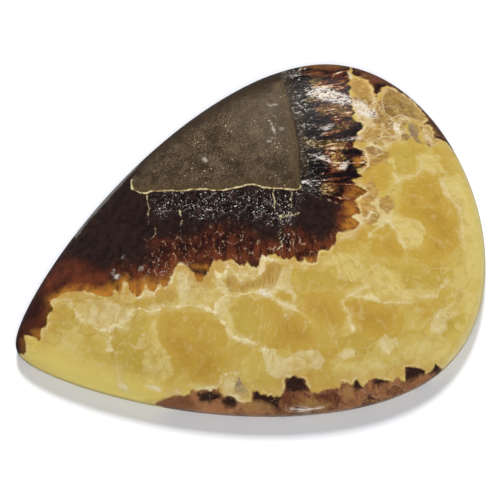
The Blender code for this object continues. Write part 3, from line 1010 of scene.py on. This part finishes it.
calcite = (streaks.rise(0.46, 0.3) * 0.25).between(calcite, GOLDEN_DEEP)
grain = cloud(4.0, 4.0, 0.75)
calcite = (grain.rise(0.54, 0.7) * 0.26).between(calcite, CREAM)
calcite = (grain.rise(0.46, 0.3) * 0.24).between(calcite, GOLDEN_DEEP)
outline = crystal_gap.rise(0.1, 0.02) * cloud(0.7, 3.0).rise(0.47, 0.6) * cloudy
calcite = (outline * 0.42).between(calcite, CREAM)
shade = crystal_gap.rise(0.3, 0.08) * grey_two.rise(0.4, 0.7) * cloudy
calcite = (shade * 0.3).between(calcite, GOLDEN_DEEP)
# Painted light: the calcite turns paler towards its edge, most on the front and tip side
painted_edge_light = read("thin_edge").rise(0.84, 1.0) * (0.75 - along_mm.rise(0, 14) * 0.35) * across_mm.rise(11, 4)
calcite = painted_edge_light.between(calcite, EDGE_PAINTED_LIGHT)
# A painted highlight: a whitish shine along the outermost edge, towards the round end
painted_edge_highlight = (read("thin_edge") + wobble * 0.03).rise(0.96, 1.0) * along_mm.rise(4, 14)
calcite = (painted_edge_highlight * 0.4).between(calcite, EDGE_HIGHLIGHT_WHITE)
seam_glow = (read("seam") + wobble * 0.7).rise(-0.55, -0.05) * cloud(0.9, 3.0).rise(0.4, 0.6)
calcite = (seam_glow * 0.45).between(calcite, CREAM)
seam_width = (cloud(0.8, 4.0, 0.65) - 0.5).at_least(0) * 1.6
seam = (read("seam") + seam_width + fine_wobble * 0.12).rise(-0.11, 0.0)
seam_colour = salt.rise(0.4, 0.56).between(SEAM_CREAM, SUGAR_LIGHT)
seam_strength = (cloud(1.0, 3.0).rise(0.36, 0.56) * 0.6 + 0.2) * (1 - along_mm.rise(4, 12) * 0.45)
seam_strength = seam_strength + read("brown_coat").rise(-2.2, -0.3) * 0.3
calcite = (seam * seam_strength).between(calcite, seam_colour)

# Aragonite: black and brown fibres, redder where light gets in, with a haze of pale flecks
teeth = round_front.maths("PINGPONG", round_front * 2.0 + wobble * 1.1, 0.5) - 0.25
coat_edge = read("brown_coat").at_least(read("brown_rim")) + teeth * 0.36 + fine_wobble * 0.1
coat_mix = cloud(1.6, 4.0, 0.6, bent) * 0.6 + fibre * 0.25 + fine_fibre * 0.15
coat = coat_mix.rise(0.36, 0.66).between(COAT_DARK, COAT_BROWN)
flecked = (read("flecked") + wobble * 1.5).rise(-0.3, 0.6)
coat = (flecked * coat_mix.rise(0.6, 0.42) * 0.85).between(coat, COAT_BLACK)
red = (read("red") + wobble * 1.6).rise(-0.6, 0.7)
red_brown = (cloud(1.3, 4.0, 0.7, bent) * 0.45 + fibre * 0.35 + salt * 0.2).rise(0.43, 0.62).between(
    COAT_RED_DARK, COAT_RED)
coat = red.between(coat, red_brown)
coat = (red * along_mm.rise(-8, -12) * along_mm.rise(-19, -16) * 0.3).between(coat, COAT_RED_PALE)
coat = (coat_edge.rise(1.9, 0.2) * red * fibre.rise(0.36, 0.56) * 0.4).between(coat, COAT_GLOW)
tipward = along_mm.rise(-4.5, -8.5)
glow_spots = cloud(1.6, 4.0, 0.6).rise(0.32, 0.6) * 0.7 + 0.25
glow = coat_edge.rise(0.9, 0.05) * along_mm.rise(-18.6, -15.5) * glow_spots
coat = (glow * (tipward * 0.72 + 0.16)).between(coat, tipward.between(COAT_GLOW, AMBER))
grey_flecks = salt.rise(0.57, 0.63) * cloud(1.5, 3.0, 0.6).rise(0.42, 0.6)
coat = (flecked * grey_flecks * 0.35).between(coat, FLECK_GREY)
white_flecks = cloud(8.0, 1.0).rise(0.63, 0.67) * cloud(1.7, 2.0).rise(0.44, 0.58)
coat = (flecked * white_flecks).between(coat, FLECK_AND_GLARE_WHITE)
crumb_gap = crystal_crowd(1.4, pushed(0.4, 1.7), (1.5, 0.7, 1))[3]
crackle = crumb_gap.rise(0.055, 0.015) * cloud(1.9, 3.0, 0.65).rise(0.52, 0.6)
rightward = along_mm.rise(-11.0, -8.0)
crackled = flecked.at_least(red * rightward * 0.75)
coat = (crackle * crackled * 0.7).between(coat, red.between(FLECK_GREY, FLECK_WARM))
warm_flecks = cloud(6.0, 2.0).rise(0.65, 0.7) * cloud(0.9, 2.0).rise(0.48, 0.6)
coat = (red * rightward * warm_flecks * 0.8).between(coat, FLECK_WARM)
coat = (along_mm.rise(-16.5, -19) * 0.6).between(coat, TIP_DARK)

# Its crystals fan out from the mudstone's end: black and white needles first, and then thicker brown columns
gold_place = (read("gold_streak") + wobble * 0.8).rise(-0.35, 0.2)
black_place = (read("black_streak") + wobble * 0.7).rise(-0.3, 0.2)
# Partly white crystals, partly painted glare and glints
white_and_glare_place = (read("white_streak") + wobble * 0.8).rise(-0.3, 0.2)
column_place = (read("columns") + wobble * 0.8).rise(-0.3, 0.2)
needle_tone = (
    dashes * 1.35 + fibre * 0.6 - 0.53 - black_place * 0.09 + gold_place * 0.05 + white_and_glare_place * 0.06)
needles = stepped(needle_tone, NEEDLE_STOPS)
column_tone = (
    fibre * 1.55 + dashes * 0.5 - 0.555 - black_place * 0.14 + gold_place * 0.05 + white_and_glare_place * 0.07)
columns = (grown + wobble * 3.0).rise(1.4, 2.8).between(needles, stepped(column_tone, COLUMN_STOPS))
columns = (gold_place * 0.15).between(columns, STREAK_GOLD)
columns = (gold_place * dashes.rise(0.53, 0.6) * 0.6).between(columns, STREAK_STRAW)
coat = (column_place * 0.97).between(coat, columns)
amber = (coat_edge + wobble * 0.5).rise(1.2, 0.15).between(AMBER_ROOT, AMBER)
amber = (fibre.rise(0.5, 0.4) * 0.5).between(amber, AMBER_FIBRE)
amber = height_mm.rise(4.4, 2.6).between(amber, AMBER_LOW)
amber_spots = cloud(1.5, 3.0).rise(0.3, 0.5) * 0.6 + 0.35
coat = ((read("amber") + wobble * 0.4).rise(-0.25, 0.3) * amber_spots).between(coat, amber)
crack = (read("crack") + wobble * 0.35).rise(-0.1, -0.01) * salt.rise(0.42, 0.52)
coat = (crack * 0.8).between(coat, SEAM_CREAM)

# The same at the stone's front and far rims, where it is paler and packed with round crystals
near_side = across_mm.rise(4, -4)
far_side = across_mm.rise(2, 8)
along_ragged = along_mm + wobble * 3
round_one, round_two, _, round_gap = crystal_crowd(0.5, pushed(0.8, 1.2), (1, 1, 0.6))
rim_tone = round_one * 0.5 + cloud(1.6, 4.0, 0.65, bent) * 0.5 + across_mm.rise(6, -6) * 0.14 - 0.06
rim_coat = rim_tone.rise(0.22, 0.72).between(RIM_DARK, RIM_PALE)
rim_streaks = cloud(1.3, 4.0, 0.7, bent, (2.4, 0.6, 0.8))
rim_coat = (rim_streaks.rise(0.5, 0.64) * 0.5).between(rim_coat, RIM_GOLD)
rim_coat = (rim_streaks.rise(0.46, 0.34) * 0.6).between(rim_coat, RIM_MAROON)
rim_coat = (round_gap.rise(0.1, 0.02) * broken.rise(0.42, 0.56) * 0.55).between(rim_coat, RIM_CRYSTAL_EDGE)
rim_coat = (height_mm.rise(2.2, 0.9) * near_side * (round_two * 0.55 + 0.25)).between(rim_coat, RIM_LOW)
rim_coat = (along_ragged.rise(-3, -9) * 0.7).between(rim_coat, RIM_TIPWARD)
rim_coat = (along_ragged.rise(7, 13) * near_side * 0.3).between(rim_coat, RIM_ROUND_END)
far_rim = rim_tone.rise(0.3, 0.6).between(FAR_RIM_DARK, FAR_RIM_RED)
rim_coat = (far_side * 0.8).between(rim_coat, far_rim)
rim_coat = ((read("red") + wobble).rise(-0.3, 0.3) * 0.6).between(rim_coat, COAT_RED)
rim_coat = (black_place * 0.95).between(rim_coat, RIM_BLACK)
rim_coat = (gold_place * 0.6).between(rim_coat, RIM_STREAK)
rim_coat = (salt.rise(0.58, 0.66) * cloud(1.2, 2.0).rise(0.5, 0.62) * 0.5).between(rim_coat, RIM_FLECK)
coat = (read("brown_rim") - read("brown_coat")).rise(-0.1, 0.1).between(coat, rim_coat)

# Mudstone: fine grey brown grains, darker towards the tip, darker low on the dome by the rim as painted
# shade, and browner by its skin
mud_tone = cloud(0.9, 5.0, 0.75, bent) * 0.42 + salt * 0.58
mud = mud_tone.rise(0.43, 0.61).between(MUD_DARK, MUD_PALE)
# A painted reflection: the mudstone lighter grey on its upper right
mud = ((read("mud_light") + wobble).rise(-1.6, 1.4) * 0.22).between(mud, MUD_REFLECTION_GREY)
# Painted shade: the mudstone darker where the dome runs low, by the rim
mud = (along_mm.rise(-2, -9) * 0.3 + height_mm.rise(3.2, 1.7) * 0.55).between(mud, MUD_DARK)
mud = (grown.rise(1.2, 0.0) * 0.5).between(mud, MUD_OLIVE)
mud = (cloud(5.5, 1.5).rise(0.67, 0.71) * cloud(0.6, 2.0).rise(0.48, 0.6) * 0.75).between(mud, SEAM_CREAM)
mud_edge = read("mudstone") + fine_wobble * 0.14
skin_width = cloud(1.8, 3.0, 0.6) * 0.22 - 0.02
on_lower_face = read("mud_face").rise(-0.45, -0.3)
skin = (skin_width - abs(read("mudstone") - wobble * 0.16)).rise(0.0, 0.05) * on_lower_face
skin_colour = cloud(1.8, 3.0).rise(0.4, 0.56).between(SEAM_GOLD, SEAM_CREAM)

# The three together: the coat over the calcite, a brown band of painted shade behind the mudstone, and its
# pale skin
front_glow = (coat_edge + wobble * 0.9).rise(-1.3, 0.0) * cloud(0.6, 3.0).rise(0.34, 0.54)
stone_colour = (front_glow * 0.4).between(calcite, FRONT_GOLD)
front_seam = (0.09 - abs(coat_edge + 0.12)).rise(0.0, 0.07) * cloud(0.8, 3.0).rise(0.46, 0.56)
stone_colour = (front_seam * 0.6).between(stone_colour, SEAM_CREAM)
stone_colour = (coat_edge + wobble * 0.1).rise(-0.06, 0.1).between(stone_colour, coat)
# Painted shade: darker brown just outside the mudstone, away from its lower face
painted_shade_band = (read("mudstone") + wobble * 0.4).rise(-1.3, -0.2) * read("mud_face").rise(-0.9, -1.6) * 0.6
stone_colour = painted_shade_band.between(stone_colour, SHADE_BAND_BROWN)
worn = read("mud_face").at_least(read("mud_side")).rise(-0.5, -1.3)
mud_amount = mud_edge.rise(-0.08, 0.12) * (1 - worn) + (mud_edge + wobble).rise(-0.2, 1.5) * worn
stone_colour = mud_amount.between(stone_colour, mud)
stone_colour = (skin * (salt.rise(0.38, 0.5) * 0.5 + 0.35)).between(stone_colour, skin_colour)
# White dashes: partly white crystals, partly painted glare and glints
white_dashes_and_glare = white_and_glare_place * read("white_streak").rise(-0.2, 0.15) * dashes.rise(0.41, 0.53)
stone_colour = (white_dashes_and_glare * 0.85).between(stone_colour, FLECK_AND_GLARE_WHITE)
# A painted reflection: a grey band on the girdle on the tip's side
stone_colour = ((read("scuff") + wobble * 0.4).rise(-0.05, 0.2) * 0.8).between(stone_colour, RIM_REFLECTION_GREY)
paint.tree.links.new(stone_colour.socket, shader.inputs["Base Color"])

# The polish: a touch duller on the mudstone and on the grey band of painted reflection, and finely uneven
# over the fan of crystals
dull = mud_edge.rise(-0.05, 0.1) + read("scuff").rise(0, 0.1)
polish = dull * 0.2 + cloud(3.0, 3.0) * 0.08 + 0.1
paint.tree.links.new(polish.socket, shader.inputs["Roughness"])
relief = cloud(5.0, 2.0).rise(0.2, 0.4) * 0.2 + column_place * (dashes + salt)
bump = paint.node("ShaderNodeBump", {}, {"Strength": 0.4, "Distance": 0.00007, "Height": relief}, "Normal")
paint.tree.links.new(bump.socket, shader.inputs["Normal"])
shader.inputs["IOR"].default_value = 1.5
shader.inputs["Specular IOR Level"].default_value = 0.35
shader.inputs["Subsurface Weight"].default_value = 0.2
shader.inputs["Subsurface Radius"].default_value = (1.0, 0.7, 0.3)
shader.inputs["Subsurface Scale"].default_value = 0.0015

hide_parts("pear_cabochon")
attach(polished_stone, "root")


# The floor: one sheet of plain white paper that the stone lies on
FLOOR_RADIUS = 3.0
PAPER_WHITE = (0.90, 0.915, 0.95, 1)
bpy.ops.mesh.primitive_circle_add(vertices=96, radius=FLOOR_RADIUS, fill_type="NGON")
floor = bpy.context.object
floor.name = "floor"
paper = bpy.data.materials.new("white_paper")
paper.use_nodes = True
paper_shader = paper.node_tree.nodes["Principled BSDF"]
paper_shader.inputs["Base Color"].default_value = PAPER_WHITE
paper_shader.inputs["Roughness"].default_value = 0.9
paper_shader.inputs["Specular IOR Level"].default_value = 0.0
floor.data.materials.append(paper)
floor.visible_glossy = False


# The studio light: a key light behind the stone that throws its shadow to the front, a soft fill from near
# the camera that keeps the shadow pale, a weak low light that brightens the front edge, and a small low
# light whose reflection glints on the far slope of the dome.
def soft_light(name, direction, elevation, distance, size, power, reflected):
    """A square light that faces the stone, with its direction and its elevation in degrees."""
    data = bpy.data.lights.new(name, "AREA")
    data.size = size
    data.energy = power
    light = bpy.data.objects.new(name, data)
    turn, tilt = math.radians(direction), math.radians(elevation)
    light.location = distance * Vector((
        math.cos(turn) * math.cos(tilt), math.sin(turn) * math.cos(tilt), math.sin(tilt)))
    light.rotation_euler = light.location.to_track_quat("Z", "Y").to_euler()
    light.visible_camera = False
    light.visible_glossy = reflected
    bpy.context.scene.collection.objects.link(light)


soft_light("key_light", direction=72, elevation=53, distance=0.8, size=0.13, power=4.9, reflected=False)
soft_light("fill_light", direction=-110, elevation=76, distance=0.9, size=0.4, power=2.95, reflected=False)
soft_light("front_light", direction=-84, elevation=13, distance=0.8, size=0.3, power=2.55, reflected=False)
soft_light("glint_light", direction=66, elevation=29, distance=0.6, size=0.11, power=0.62, reflected=True)

WORLD_GLOW = 0.12                 # the even light from all round
world = bpy.data.worlds.new("studio")
world.use_nodes = True
world.node_tree.nodes["Background"].inputs["Color"].default_value = (1, 1, 1, 1)
world.node_tree.nodes["Background"].inputs["Strength"].default_value = WORLD_GLOW
bpy.context.scene.world = world
bpy.context.scene.view_settings.view_transform = "Standard"
